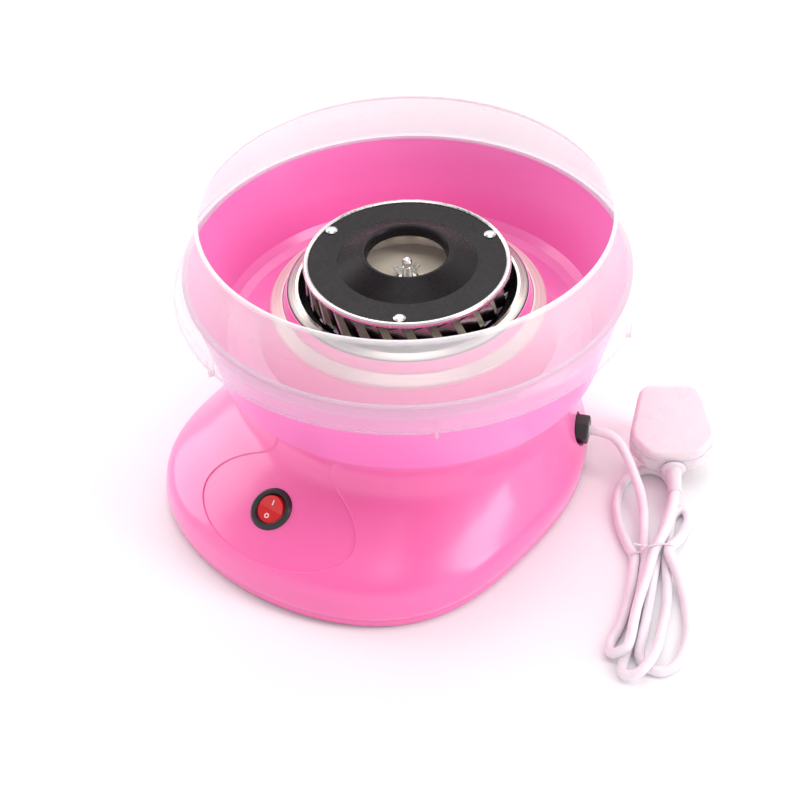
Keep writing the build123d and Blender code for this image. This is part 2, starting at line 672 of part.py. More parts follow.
def top_plate():
    """Black plate over the head, with a raised cone and the round sugar mouth."""
    top = [(58.0, 144.3), (58.0, 145.4), (41.4, 145.6), (28.0, 152.0), (26.4, 152.7), (24.8, 152.4),
           (24.0, 151.2)]
    under = [(23.4, 146.2), (24.4, 146.2), (25.2, 150.8), (26.4, 151.5), (27.6, 150.9), (40.9, 144.3)]
    return turned(top + under)


def rim_ring():
    """Rolled bright rim that clasps the top plate's edge."""
    return turned([(58.3, 144.3), (59.4, 144.3), (59.9, 143.2), (61.0, 143.2), (HEAD_R, 143.8), (HEAD_R, 145.2),
                   (60.4, 146.2), (59.2, 146.3), (58.3, 145.8)])


def plate_rivets():
    """Three posts with domed heads that hold the plate on the dish."""
    low, seat = 123.22, 145.55
    rivet = turned([(0, low), (1.6, low), (1.6, seat), (3.6, seat), (3.6, seat + 0.5), (2.4, seat + 1.2),
                    (0, seat + 1.4)])
    return around(RIVET_DEGREES, RIVET_R, rivet)


def rivet_holes():
    """Clearance for the rivets' shanks through the plate."""
    return around(RIVET_DEGREES, RIVET_R, tube(1.7, 0, 140, 150))


def bowl():
    """Wall of the removable catch bowl, with its rim and the skirt over the base's neck."""
    under_z = BOWL_FLOOR_Z - BOWL_SKIN
    outer = [(BOWL_FOOT_R, BOWL_FOOT_Z), (BOWL_RIM_R - 1.2, BOWL_RIM_Z - 2.4), (BOWL_RIM_R, BOWL_RIM_Z - 1.6),
             (BOWL_RIM_R, BOWL_RIM_Z)]
    inner = [(BOWL_RIM_R - 3.2, BOWL_RIM_Z), (BOWL_RIM_R - 3.6, BOWL_RIM_Z - 1.2), (113.5, 101.5),
             (BOWL_CORNER_R, BOWL_FLOOR_Z + 1.7)]
    under = [(BOWL_CORNER_R, under_z + 0.6), (111.6, under_z + 0.8), (111.6, BOWL_FOOT_Z)]
    return turned(outer + inner + under)


def bowl_floor():
    """Flat floor of the bowl's moulding."""
    floor, under_z = BOWL_FLOOR_Z, BOWL_FLOOR_Z - BOWL_SKIN
    return turned([(BOWL_SEAT_R, under_z), (104.4, under_z), (BOWL_CORNER_R, under_z + 0.6),
                   (BOWL_CORNER_R, floor + 1.7), (104, floor), (BOWL_SEAT_R, floor)])


def bowl_collar():
    """Stepped collar in the middle of the bowl's moulding, which stands round the cup."""
    floor, under_z = BOWL_FLOOR_Z, BOWL_FLOOR_Z - BOWL_SKIN
    outer = [(BOWL_SEAT_R, floor), (TRIM_OUT_R + 0.6, 114.2), (TRIM_OUT_R + 0.3, 116.0),
             (TRIM_IN_R + 0.1, 118.2), (TRIM_IN_R, 121.3), (CUP_RIM_R + 1.0, 127.6), (CUP_RIM_R + 0.5, 127.6)]
    under = [(CUP_RIM_R + 0.5, 117.5), (TRIM_OUT_R - 2.0, 113.6), (BOWL_SEAT_R - 1.4, under_z),
             (BOWL_SEAT_R, under_z)]
    return turned(outer + under)


def bowl_trim_ring():
    """Bright ring on the collar's seat."""
    return turned([(TRIM_OUT_R, 116.15), (TRIM_OUT_R, 117.4), (TRIM_OUT_R - 0.7, 118.2),
                   (TRIM_IN_R + 1.2, 121.2), (TRIM_IN_R + 0.3, 121.2), (TRIM_IN_R + 0.3, 118.4)])


def splash_guard():
    """Milky cone that stands on the bowl's rim, with a turned-down skirt and six locating ribs."""
    low, skin, rib_start_deg = 132.0, 1.6, 15
    skirt, top, rim = GUARD_SKIRT_R, GUARD_TOP_Z, GUARD_RIM_R
    outer = [(skirt, low), (skirt, 141.5), (skirt - 1.4, 143.6), (134.2, 145.6), (rim + 0.9, top - 1.6),
             (rim + 0.9, top - 0.4), (rim + 0.3, top)]
    inner = [(rim - 0.9, top), (rim - 1.2, top - 0.6), (131.9, 146.2), (128.6, 145.3), (128.6, 145.1),
             (BOWL_RIM_R + 0.4, 145.1), (skirt - 2.6, 141.0), (skirt - skin, low)]
    guard = turned(outer + inner)
    rib = block(skirt - skin - 1.2, skirt + 0.6, -1.0, 1.0, low - 3.2, low + 8.6)
    for index in range(6):
        guard += Rot(0, 0, rib_start_deg + index * 60) * rib
    return guard


# The cord lies free: from the gland over the bundle to its tie, then from the tie to the plug.
# Points are in the machine's frame.
CORD_EXIT = GLAND_PLANE.origin + Vector(0, AXIS_Y, 0)
LEAD_ROUTE = [
    (CORD_EXIT.X, CORD_EXIT.Y, CORD_EXIT.Z),
    (111.0, 63.3, 32.9),
    (121.2, 65.8, 29.6),
    (130.8, 64.0, 23.6),
    (138.6, 57.4, 17.0),
    (148.0, 48.5, 11.5),
    (157.5, 37.0, 9.8),
    (165.0, 26.0, 9.8),
    (172.5, 17.0, 9.8),
]


def leaning(shape):
    """Turn a plug piece from its own frame (pins down, cord towards +Y) to how it lies on its pins."""
    lean = Rot(0, 0, 180 + PLUG_HEADING_DEG) * Rot(-math.degrees(PLUG_TILT), 0, 0)
    return Pos(PLUG_ORIGIN[0], PLUG_ORIGIN[1], PLUG_LIFT) * lean * shape


def plug_outline(inset):
    """Face with the plug's outline: round shoulders, widest near the cord, and a bowed nose."""
    low, high = -31 + inset, PLUG_NOSE - inset
    left = [(-18.2 + inset, low), (-25.6 + inset, 2), (-25.2 + inset, 9.5), (-15.5 + inset, high - 2.2)]
    right = [(-x, y) for x, y in reversed(left)]
    bends = [9, 12, 8, 14]
    outline = FilletPolyline(*left, (0, high), *right, radius=[*bends, 40, *reversed(bends)], close=True)
    return make_face(outline)


def plug_body():
    """Pin side of the plug."""
    body = extrude(plug_outline(0), PLUG_WALL)
    body = chamfer(body.faces().sort_by(Axis.Z)[0].edges(), 0.8)
    for x, y in LINE_PINS_XY:
        body -= Pos(x, y, 0) * Box(LINE_PIN_WIDE + FIT_GAP, LINE_PIN_THICK + FIT_GAP, 30)
    body -= Pos(0, -PIN_SPREAD, 0) * Box(LINE_PIN_THICK + FIT_GAP, EARTH_PIN_WIDE + FIT_GAP, 30)
    body -= Pos(0, -9, 0) * Box(7.2, 9.2, 6)
    body -= Pos(0, RELIEF_START - 1, PLUG_EXIT_Z) * Rot(-90, 0, 0) * Cylinder(5.4, 20, align=UPRIGHT)
    return body


def plug_cover():
    """Crowned cover of the plug."""
    cover = Pos(0, 0, PLUG_WALL + 0.15) * extrude(plug_outline(0.3), PLUG_COVER)
    return fillet(cover.faces().sort_by(Axis.Z)[-1].edges(), 3.0)


def plug_pins():
    """Live and neutral pins with sleeved roots, and the longer earth pin."""
    pin = Box(LINE_PIN_WIDE, LINE_PIN_THICK, LINE_PIN_LENGTH + 6, align=UPRIGHT)
    pin = chamfer(pin.faces().sort_by(Axis.Z)[0].edges(), PIN_CHAMFER)
    pin = Pos(0, 0, -LINE_PIN_LENGTH) * pin
    waist = Pos(0, 0, -SLEEVE_LENGTH) * Box(8, 6, SLEEVE_LENGTH, align=UPRIGHT)
    waist -= Pos(0, 0, -SLEEVE_LENGTH) * Box(5.1, 2.7, SLEEVE_LENGTH, align=UPRIGHT)
    earth = Box(LINE_PIN_THICK, EARTH_PIN_WIDE, EARTH_PIN_LENGTH + 6, align=UPRIGHT)
    earth = chamfer(earth.faces().sort_by(Axis.Z)[0].edges(), PIN_CHAMFER)
    earth = Pos(0, -PIN_SPREAD, -EARTH_PIN_LENGTH) * earth
    return Compound(list(at_points(LINE_PINS_XY, pin - waist)) + [earth])


def plug_pin_sleeves():
    """Black sleeves round the roots of the live and neutral pins."""
    sleeve = Pos(0, 0, -SLEEVE_LENGTH + 0.05) * Box(6.3, 3.9, SLEEVE_LENGTH - 0.1, align=UPRIGHT)
    sleeve -= Pos(0, 0, -20) * Box(5.3, 2.9, 40, align=UPRIGHT)
    return at_points(LINE_PINS_XY, sleeve)


def plug_fuse_carrier():
    """Small drawer for the fuse between the pins."""
    return Pos(0, -9, -0.3) * Box(6.9, 8.9, 3.1, align=UPRIGHT)


def plug_strain_relief():
    """Smooth tapered sleeve with a round collar where the cord enters the plug."""
    collar = PLUG_NOSE - RELIEF_START
    outline = [
        (0, 0), (5.2, 0), (5.2, collar), (7.2, collar), (7.4, collar + 0.4), (7.2, collar + 1.6),
        (6.4, collar + 2.4), (5.2, collar + 2.9), (4.7, collar + 4.0), (4.4, collar + 8.0),
        (3.7, RELIEF_LENGTH), (0, RELIEF_LENGTH),
    ]
    return Pos(0, RELIEF_START, PLUG_EXIT_Z) * Rot(-90, 0, 0) * turned(outline)


def plug_cord_end():
    """Where the cord meets the strain relief, in the machine's frame."""
    tip = leaning(Pos(0, RELIEF_START + RELIEF_LENGTH, PLUG_EXIT_Z) * Vertex(0, 0, 0))
    return tip.center()


def tail_route():
    """From the bundle's upper step to the plug's strain relief."""
    end = plug_cord_end()
    return [
        (179.0, 20.0, 10.2),
        (177.0, 29.0, 10.0),
        (172.5, 40.5, 9.8),
        (end.X + 4.9, end.Y - 8.5, end.Z - 1.5),
        (end.X, end.Y, end.Z),
    ]


def cord_tube(name, points):
    """Plain tube along a route, with each arc as large as its two runs allow."""
    vectors = [Vector(*p) for p in points]
    radii = []
    for before, corner, after in zip(vectors, vectors[1:], vectors[2:]):
        runs = (corner - before, after - corner)
        half_turn = math.radians(runs[0].get_angle(runs[1])) / 2
        radii.append(0.45 * min(runs[0].length, runs[1].length) / math.tan(half_turn))
    path = FilletPolyline(*points, radius=radii)
    solid = sweep(Plane(path @ 0, z_dir=path % 0) * Circle(CORD_R), path)
    expected = math.pi * CORD_R**2 * path.length
    print(name, "radii", [round(r, 1) for r in radii])
    print(name, "length", round(path.length, 1), "volume ratio", round(solid.volume / expected, 4))
    return solid


# Outline of the cord's tied bundle on the floor, in the machine's frame: two loops on the plug's
# side of the tie and three on the other.
BUNDLE_OUTLINE = [
    (168.5, 9), (152, 19), (133, 33), (121, 52), (123, 76), (136, 87.5), (152, 81), (163, 67.5),
    (178, 62), (184, 47), (181, 31), (183.5, 22), (196, 10), (221, -12), (235, -34), (236, -55),
    (222, -64), (214, -75), (203, -63), (194, -63), (185, -40), (175, -9),
]
CROSSING_OUTLINE = [
    (169.5, 14), (174, 23), (182, 22.5), (196, -6), (206, -38), (203, -52), (197, -52), (186, -29), (175, -3),
]


def cord_hank():
    """Closed form of the tied bundle: one layer of cord, and a second one over the crossing strands."""
    first = extrude(make_face(Spline(*BUNDLE_OUTLINE, periodic=True)), 6.2)
    second = extrude(make_face(Spline(*CROSSING_OUTLINE, periodic=True)), 12.6)
    groove = Box(60, TIE_BAND + FIT_GAP, 2 * (TIE_WIRE + 0.1))
    return first + second - Pos(TIE_CENTRE[0], TIE_CENTRE[1], 0) * Rot(0, 0, TIE_HEADING_DEG) * groove


def cord_tie():
    """Thin band round the waist of the bundle."""
    width, height = 23.5, 14.4
    outer = Box(width, TIE_BAND, height, align=UPRIGHT)
    gap = Box(width - 2 * TIE_WIRE, TIE_BAND + 2, height - 2 * TIE_WIRE, align=UPRIGHT)
    inner = Pos(0, 0, TIE_WIRE) * gap
    return Pos(TIE_CENTRE[0], TIE_CENTRE[1], 0) * Rot(0, 0, TIE_HEADING_DEG) * (outer - inner)


def build_base():
    """Everything fixed to the base."""
    moulding = base_moulding()
    write("base_housing", moulding & slab(0, DECK_SPLIT_Z))
    write("base_deck", moulding & slab(DECK_SPLIT_Z, DECK_Z))
    write("cup_collar", moulding & slab(DECK_Z, COLLAR_TOP_Z + 1))
    write("bottom_cover", bottom_cover())
    write("rubber_feet", rubber_feet())
    write("cover_screws", cover_screws())
    write("panhead_screws", panhead_screws())
    write("motor_can", motor_can())
    write("motor_end_cap", motor_end_cap())
    write("motor_bushes", motor_bushes())
    write("motor_magnets", motor_magnets())
    write("motor_brushes", motor_brushes())
    write("motor_bracket", motor_bracket())
    write("motor_grommets", motor_grommets())
    write("cup_spacers", cup_spacers())
    write("heat_shield_cup", heat_shield_cup())
    write("heater_ring", heater_ring())
    write("heater_ceramics", Compound(list(heater_insulators()) + list(heater_bushes())))
    write("heater_tags", heater_tags())
    write("thermal_cutout", thermal_cutout())
    write("switch_body", switch_body())
    write("switch_pivot", switch_pivot())
    write("switch_terminals", switch_terminals())
    write("cord_gland", cord_gland())
    write("cord_inner", cord_inner())
    write("cord_clamp", cord_clamp())
    write("clamp_block", clamp_block())
    write("rectifier_board", rectifier_board())
    write("board_components", board_components())
    write("terminal_block", terminal_block())
    write("inner_wires", inner_wires())


def build_moving():
    """The rotor, the lift-off head, bowl and guard, and the switch's rocker."""
    write("motor_shaft", motor_shaft())
    write("drive_pin", drive_pin())
    write("armature_core", armature_core())
    write("armature_windings", armature_windings())
    write("commutator", commutator())
    write("sugar_pan", sugar_pan())
    write("head_hub", head_hub())
    write("hub_clip", hub_clip())
    write("louvre_band", louvre_band())
    write("top_plate", top_plate() - rivet_holes())
    write("rim_ring", rim_ring())
    write("plate_rivets", plate_rivets())
    write("bowl", bowl())
    write("bowl_floor", bowl_floor())
    write("bowl_collar", bowl_collar())
    write("bowl_trim_ring", bowl_trim_ring())
    write("splash_guard", splash_guard())
    write("rocker", rocker())
    write("rocker_marks", rocker_posed(rocker_mark_solids(0)))


def build_cord():
    """The free cord, its bundle and tie, and the plug."""
    place("cord_lead", cord_tube("cord_lead", LEAD_ROUTE))
    place("cord_hank", cord_hank())
    place("cord_tail", cord_tube("cord_tail", tail_route()))
    place("cord_tie", cord_tie())
    place("plug_body", leaning(plug_body()))
    place("plug_cover", leaning(plug_cover()))
    place("plug_pins", leaning(plug_pins()))
    place("plug_pin_sleeves", leaning(plug_pin_sleeves()))
    place("plug_fuse_carrier", leaning(plug_fuse_carrier()))
    place("plug_strain_relief", leaning(plug_strain_relief()))


build_base()
build_moving()
build_cord()
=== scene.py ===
import json
import math

import bpy
from mathutils import Matrix, Vector


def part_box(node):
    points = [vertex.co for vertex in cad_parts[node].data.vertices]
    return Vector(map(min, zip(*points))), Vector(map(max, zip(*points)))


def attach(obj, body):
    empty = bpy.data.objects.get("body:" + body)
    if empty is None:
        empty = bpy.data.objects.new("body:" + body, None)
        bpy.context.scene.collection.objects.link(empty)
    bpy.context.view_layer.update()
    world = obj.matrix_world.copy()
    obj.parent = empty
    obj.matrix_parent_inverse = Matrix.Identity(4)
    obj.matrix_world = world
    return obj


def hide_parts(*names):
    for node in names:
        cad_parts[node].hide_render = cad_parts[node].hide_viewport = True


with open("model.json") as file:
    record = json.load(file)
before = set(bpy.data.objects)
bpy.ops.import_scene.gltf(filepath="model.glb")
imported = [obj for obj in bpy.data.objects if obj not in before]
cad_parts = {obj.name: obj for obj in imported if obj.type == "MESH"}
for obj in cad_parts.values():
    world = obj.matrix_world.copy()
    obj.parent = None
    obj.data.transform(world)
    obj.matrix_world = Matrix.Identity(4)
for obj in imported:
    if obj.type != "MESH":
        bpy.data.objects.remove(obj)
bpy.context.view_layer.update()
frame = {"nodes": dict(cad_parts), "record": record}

MM = 0.001
AXIS_Y = (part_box("bowl")[0][1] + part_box("bowl")[1][1]) / 2

# ---------------------------------------------------------------- camera
CAMERA_AZIMUTH = math.radians(40.0)
CAMERA_ELEVATION = math.radians(40.88)
CAMERA_DISTANCE = 1.2403
CAMERA_ROLL = math.radians(-2.13)
CAMERA_ASIDE = 0.0071
CAMERA_AIM_Z = 0.0377
CAMERA_LENS = 90.0
CAMERA_SENSOR = 36.0
CAMERA_REACH = 20.0


def outward(azimuth, elevation):
    """Direction from the object to a place seen at these angles, in radians from its front."""
    return Vector((
        math.sin(azimuth) * math.cos(elevation),
        -math.cos(azimuth) * math.cos(elevation),
        math.sin(elevation),
    ))


def make_camera():
    """Camera at a three-quarter view from above, rolled a little."""
    right = Vector((math.cos(CAMERA_AZIMUTH), math.sin(CAMERA_AZIMUTH), 0))
    back = outward(CAMERA_AZIMUTH, CAMERA_ELEVATION)
    aim = Vector((0, AXIS_Y, CAMERA_AIM_Z)) - right * CAMERA_ASIDE
    camera = bpy.data.objects.new("camera", bpy.data.cameras.new("camera"))
    bpy.context.collection.objects.link(camera)
    camera.data.lens = CAMERA_LENS
    camera.data.sensor_width = CAMERA_SENSOR
    camera.location = aim + back * CAMERA_DISTANCE
    turn = (-back).to_track_quat("-Z", "Y").to_matrix() @ Matrix.Rotation(CAMERA_ROLL, 3, "Z")
    camera.rotation_mode = "QUATERNION"
    camera.rotation_quaternion = turn.to_quaternion()
    camera.data.clip_end = CAMERA_REACH
    bpy.context.scene.camera = camera


make_camera()

# ---------------------------------------------------------------- cord
# The cord's route in millimetres: from the gland to the tie, five loops that all pass the tie, and
# from the tie to the plug. Its two ends repeat the route of the solid lead and tail.
CORD_RADIUS = 3.0
CORD_EXIT = (101.05, 58.62, 32.9)
CORD_LEAD = [
    CORD_EXIT, (110.2, 62.9, 32.9), (119, 64.6, 29.3), (127, 62.6, 22.2), (134.6, 58.8, 15.2),
    (143.5, 52.8, 10.2), (153.5, 42, 7.6), (162.5, 28, 6.4), (169, 19, 4.6),
]
CORD_MIDDLE_LOOP = [
    (173.7, 13.6, 3.8), (178.7, 4, 3.2), (184.6, -8, 3), (192.7, -25.2, 3), (200, -41.2, 3),
    (205, -53, 3), (209, -63.5, 3), (213.5, -71, 3.4), (221.5, -69.5, 6), (223.5, -58, 10),
    (220, -45, 9), (214, -32, 5), (206, -14, 3), (196, 2.5, 3), (187.5, 14, 3.2), (182.9, 21.3, 3.8),
]
CORD_SMALL_LOOP = [
    (178.8, 30.5, 3), (172, 42, 3), (165.8, 54.5, 3), (169, 62, 3), (176.8, 57, 3), (181.2, 42, 4),
    (184, 30, 8.6), (182.9, 21.3, 10),
]
CORD_RIGHT_LOOP = [
    (190.5, 15, 9.2), (199, 9.5, 5.2), (213, -4.5, 3), (225.5, -20.5, 3), (234, -42, 3), (231.5, -56, 3),
    (221, -58.5, 3), (212.5, -53.5, 3), (207.6, -41.6, 3), (199.8, -24.6, 3), (191.4, -8, 3),
    (184.8, 5, 3.2), (178.5, 17.6, 3.8),
]
CORD_UPPER_LOOP = [
    (173.2, 30.5, 3.2), (167.3, 44, 3), (161.2, 59.6, 3), (154.8, 73, 3), (144.5, 81.5, 3), (132.5, 79.5, 3),
    (126.5, 68.5, 3), (127.5, 54.5, 3), (134.5, 40, 3), (146.5, 26, 3), (160, 15, 3.2), (168.8, 9.4, 3.8),
]
CORD_LEFT_LOOP = [
    (172.3, 2.5, 3.4), (178, -8, 3), (186, -25, 3), (192.8, -43, 3), (194.6, -56, 3), (200.5, -63.5, 4.2),
    (207.8, -58.5, 9.6), (205, -50, 9.6), (199.5, -39, 9.3), (193.5, -26, 9.2), (187, -8, 9.4),
    (182, 5, 9.4), (177.5, 16.8, 9.6),
]
CORD_TAIL = [(175.6, 28, 10.2), (171.4, 41, 10), (166.6, 53, 11.5), (162.1, 62.1, 13.0)]
CORD_ROUTE = (
    CORD_LEAD + CORD_MIDDLE_LOOP + CORD_SMALL_LOOP + CORD_RIGHT_LOOP + CORD_UPPER_LOOP
    + CORD_LEFT_LOOP + CORD_TAIL
)


def make_cord():
    """The whole cord as one smooth curve, in place of its plain solids.

    Its points' radii carry the thickness, and the bevel is 1, so that the curve's box is its real one.
    """
    data = bpy.data.curves.new("mains_cord", "CURVE")
    data.dimensions = "3D"
    data.bevel_depth = 1.0
    data.bevel_resolution = 7
    data.resolution_u = 14
    data.use_fill_caps = True
    spline = data.splines.new("NURBS")
    spline.points.add(len(CORD_ROUTE) - 1)
    for point, place in zip(spline.points, CORD_ROUTE):
        point.co = (*[value * MM for value in place], 1)
        point.radius = CORD_RADIUS * MM
    spline.order_u = 3
    spline.use_endpoint_u = True
    cord = bpy.data.objects.new("mains_cord", data)
    bpy.context.collection.objects.link(cord)
    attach(cord, "base")
    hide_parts("cord_lead", "cord_hank", "cord_tail")
    return cord


cord = make_cord()

# The tie: one turn of thin coated wire round the strands, in a plane across them, and its twisted ends.
# Its points are (distance along that plane, height) in millimetres.
TIE_CENTRE = Vector((176.0, 15.5, 0))
TIE_HEADING = math.radians(40.0)
TIE_RADIUS = 0.62
TIE_TWIST = 0.8
TIE_LOOP = [
    (-11.5, 0.7), (0, 0.7), (11.0, 0.7), (13.2, 3.0), (13.4, 8.5), (12.0, 13.2), (7.5, 13.9), (2.0, 13.6),
    (-2.6, 12.2), (-4.4, 8.0), (-9.0, 7.7), (-12.8, 6.6), (-13.3, 3.0),
]
TIE_ENDS = [(-3.0, 12.6), (-4.6, 13.6), (-6.4, 13.2), (-8.0, 14.6), (-9.8, 14.2), (-11.2, 15.3)]


def tie_curve(name, points, closed, aside):
    """One length of the tie's wire across the strands, its points aside of the plane by turns."""
    data = bpy.data.curves.new(name, "CURVE")
    data.dimensions = "3D"
    data.bevel_depth = 1.0
    data.bevel_resolution = 4
    data.use_fill_caps = True
    spline = data.splines.new("NURBS")
    spline.points.add(len(points) - 1)
    along = Vector((math.cos(TIE_HEADING), math.sin(TIE_HEADING), 0))
    across = Vector((-along.y, along.x, 0))
    for index, (point, (reach, height)) in enumerate(zip(spline.points, points)):
        place = TIE_CENTRE + along * reach + across * aside * (-1) ** index + Vector((0, 0, height))
        point.co = (*(place * MM), 1)
        point.radius = TIE_RADIUS * MM
    spline.use_cyclic_u = closed
    spline.order_u = 3
    spline.use_endpoint_u = not closed
    made = bpy.data.objects.new(name, data)
    bpy.context.collection.objects.link(made)
    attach(made, "base")
    return made


tie = tie_curve("tie_wire_loop", TIE_LOOP, closed=True, aside=0)
tie_ends = tie_curve("tie_wire_ends", TIE_ENDS, closed=False, aside=TIE_TWIST)
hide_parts("cord_tie")

# ---------------------------------------------------------------- materials


def fill_ramp(ramp, stops):
    """Give a colour ramp its (position, colour) stops."""
    elements = ramp.color_ramp.elements
    while len(elements) < len(stops):
        elements.new(0.5)
    for element, (position, colour) in zip(elements, stops):
        element.position = position
        element.color = (*colour, 1)


class Surface:
    """A node material being built: its tree, its main shader and short ways to add to them."""

    def __init__(self, name, **values):
        self.material = bpy.data.materials.new(name)
        self.material.use_nodes = True
        self.tree = self.material.node_tree
        self.shader = self.tree.nodes["Principled BSDF"]
        self.place = self.node("ShaderNodeTexCoord").outputs["Object"]
        self.set(**values)

    def node(self, kind, **settings):
        made = self.tree.nodes.new(kind)
        for key, value in settings.items():
            setattr(made, key, value)
        return made

    def join(self, source, target):
        self.tree.links.new(source, target)

    def set(self, **values):
        """Constants on the shader's own sockets, by name with _ for a space; colours are RGB."""
        for key, value in values.items():
            socket = self.shader.inputs[key.replace("_", " ")]
            socket.default_value = (*value, 1) if socket.type == "RGBA" else value

    def scaled(self, scale):
        """The object's coordinates, stretched."""
        mapping = self.node("ShaderNodeMapping")
        mapping.inputs["Scale"].default_value = scale
        self.join(self.place, mapping.inputs["Vector"])
        return mapping.outputs["Vector"]

    def noise(self, scale, detail=3.0, roughness=0.5, vector=None):
        made = self.node("ShaderNodeTexNoise")
        made.inputs["Scale"].default_value = scale
        made.inputs["Detail"].default_value = detail
        made.inputs["Roughness"].default_value = roughness
        self.join(vector or self.place, made.inputs["Vector"])
        return made.outputs["Fac"]

    def ranged(self, value, low, high, from_low=0.35, from_high=0.65):
        """A texture's value, mapped smoothly to a range."""
        made = self.node("ShaderNodeMapRange", interpolation_type="SMOOTHSTEP")
        made.inputs["From Min"].default_value = from_low
        made.inputs["From Max"].default_value = from_high
        made.inputs["To Min"].default_value = low
        made.inputs["To Max"].default_value = high
        self.join(value, made.inputs["Value"])
        return made.outputs["Result"]

    def colours(self, value, stops):
        """A colour ramp over a texture's value."""
        ramp = self.node("ShaderNodeValToRGB")
        fill_ramp(ramp, stops)
        self.join(value, ramp.inputs["Fac"])
        return ramp.outputs["Color"]

    def paint(self, colour):
        self.join(colour, self.shader.inputs["Base Color"])

    def rough(self, value):
        self.join(value, self.shader.inputs["Roughness"])

    def bump(self, height, strength, distance):
        """Relief from a texture's value, on top of any relief that is there."""
        made = self.node("ShaderNodeBump")
        made.inputs["Strength"].default_value = strength
        made.inputs["Distance"].default_value = distance
        self.join(height, made.inputs["Height"])
        if self.shader.inputs["Normal"].is_linked:
            before = self.shader.inputs["Normal"].links[0].from_socket
            self.join(before, made.inputs["Normal"])
        self.join(made.outputs["Normal"], self.shader.inputs["Normal"])

    def from_axis(self):
        """Distance from the bowl's upright axis."""
        shift = self.node("ShaderNodeVectorMath", operation="SUBTRACT")
        shift.inputs[1].default_value = (0, AXIS_Y, 0)
        self.join(self.place, shift.inputs[0])
        flat = self.node("ShaderNodeVectorMath", operation="MULTIPLY")
        flat.inputs[1].default_value = (1, 1, 0)
        self.join(shift.outputs["Vector"], flat.inputs[0])
        length = self.node("ShaderNodeVectorMath", operation="LENGTH")
        self.join(flat.outputs["Vector"], length.inputs[0])
        return length.outputs["Value"]

    def height_value(self):
        """Height above the surface that the machine stands on."""
        split = self.node("ShaderNodeSeparateXYZ")
        self.join(self.place, split.inputs["Vector"])
        return split.outputs["Z"]

    def spun_lines(self, scale):
        """Fine concentric lines, as a lathe or spinning chuck leaves them."""
        join = self.node("ShaderNodeCombineXYZ")
        self.join(self.from_axis(), join.inputs["X"])
        self.join(self.height_value(), join.inputs["Y"])
        return self.noise(scale, detail=2.0, roughness=0.7, vector=join.outputs["Vector"])


def tones(colour, spread):
    """Three tones of a colour for a ramp, darker to lighter."""
    dark = tuple(value * (1 - spread) for value in colour)
    light = tuple(min(1.0, value * (1 + spread)) for value in colour)
    return [(0.3, dark), (0.5, colour), (0.7, light)]


def moulded(name, colour, roughness, spread, grain, depth=0.00004, **values):
    """Moulded plastic or rubber: faint mottling, uneven gloss and a fine grain."""
    made = Surface(name, **values)
    made.paint(made.colours(made.noise(25.0), tones(colour, spread)))
    made.rough(made.ranged(made.noise(60.0, detail=4.0), roughness * 0.85, roughness * 1.2))
    made.bump(made.noise(grain, detail=2.0), 0.25, depth)
    return made.material


def metal(name, colour, roughness, grain=(400.0, 400.0, 400.0)):
    """Metal with a directional or even grain in its gloss."""
    made = Surface(name, Metallic=1.0)
    lines = made.noise(1.0, detail=4.0, roughness=0.65, vector=made.scaled(grain))
    made.paint(made.colours(made.noise(40.0), tones(colour, 0.08)))
    made.rough(made.ranged(lines, roughness * 0.7, roughness * 1.4))
    made.bump(lines, 0.15, 0.00003)
    return made.material


def brushed_dish(name):
    """Pale sugar pan, turned round the bowl's axis and dulled by heat."""
    made = Surface(name, Metallic=0.12, Anisotropic=0.6)
    rings = made.spun_lines(2500.0)
    made.paint(made.colours(made.noise(30.0), tones((0.92, 0.82, 0.66), 0.05)))
    made.rough(made.ranged(rings, 0.294, 0.567))
    tangent = made.node("ShaderNodeTangent", direction_type="RADIAL", axis="Z")
    made.join(tangent.outputs["Tangent"], made.shader.inputs["Tangent"])
    made.bump(rings, 0.3, 0.00004)
    return made.material


# The cup and the trim ring share a material: 0 is the cup's inside, painted near black as shade, 0.5 its
# lip, 1 the trim ring.
CUP_COLOURS_WITH_PAINTED_SHADE = [(0.0, (0.018, 0.013, 0.014)), (0.5, (0.60, 0.54, 0.50)), (1.0, (0.78, 0.62, 0.58))]
CUP_METAL = [(0.0, (0.0, 0.0, 0.0)), (0.5, (1.0, 1.0, 1.0)), (1.0, (0.2, 0.2, 0.2))]
LIP_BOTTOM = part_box("heat_shield_cup")[1][2] - 0.0022
LIP_BRIGHT = LIP_BOTTOM + 0.001
TRIM_EDGE = 0.0732
TRIM_CREAM = TRIM_EDGE + 0.0006


def cup_and_trim(name):
    """Cream trim ring, the bright spun lip of the cup, and painted shade inside the cup below its lip."""
    made = Surface(name, Anisotropic=0.3)
    rings = made.spun_lines(1800.0)
    zone = made.node("ShaderNodeMath", operation="MAXIMUM")
    made.join(made.ranged(made.height_value(), 0.0, 0.5, LIP_BOTTOM, LIP_BRIGHT), zone.inputs[0])
    made.join(made.ranged(made.from_axis(), 0.0, 1.0, TRIM_EDGE, TRIM_CREAM), zone.inputs[1])
    # Painted shade: the cup's inside below its lip is near black and not metallic.
    made.paint(made.colours(zone.outputs["Value"], CUP_COLOURS_WITH_PAINTED_SHADE))
    made.join(made.colours(zone.outputs["Value"], CUP_METAL), made.shader.inputs["Metallic"])
    made.rough(made.ranged(rings, 0.2, 0.36))
    made.bump(rings, 0.3, 0.00004)
    return made.material


def pink_gloss(name, colour, deep):
    """Gloss pink moulding with a faint flow, orange peel and a violet bloom where it turns away."""
    made = Surface(name, Coat_Weight=0.6, Coat_Roughness=0.16)
    made.set(Sheen_Weight=0.4, Sheen_Roughness=0.5, Sheen_Tint=(0.80, 0.66, 1.0))
    flow = made.noise(7.0, detail=0.0)
    made.paint(made.colours(flow, [(0.2, deep), (0.8, colour)]))
    made.rough(made.ranged(made.noise(45.0, detail=2.0), 0.28, 0.31, 0.2, 0.8))
    made.bump(made.noise(150.0, detail=0.0), 0.04, 0.0001)
    made.bump(made.noise(1800.0, detail=1.0), 0.04, 0.00002)
    return made.material
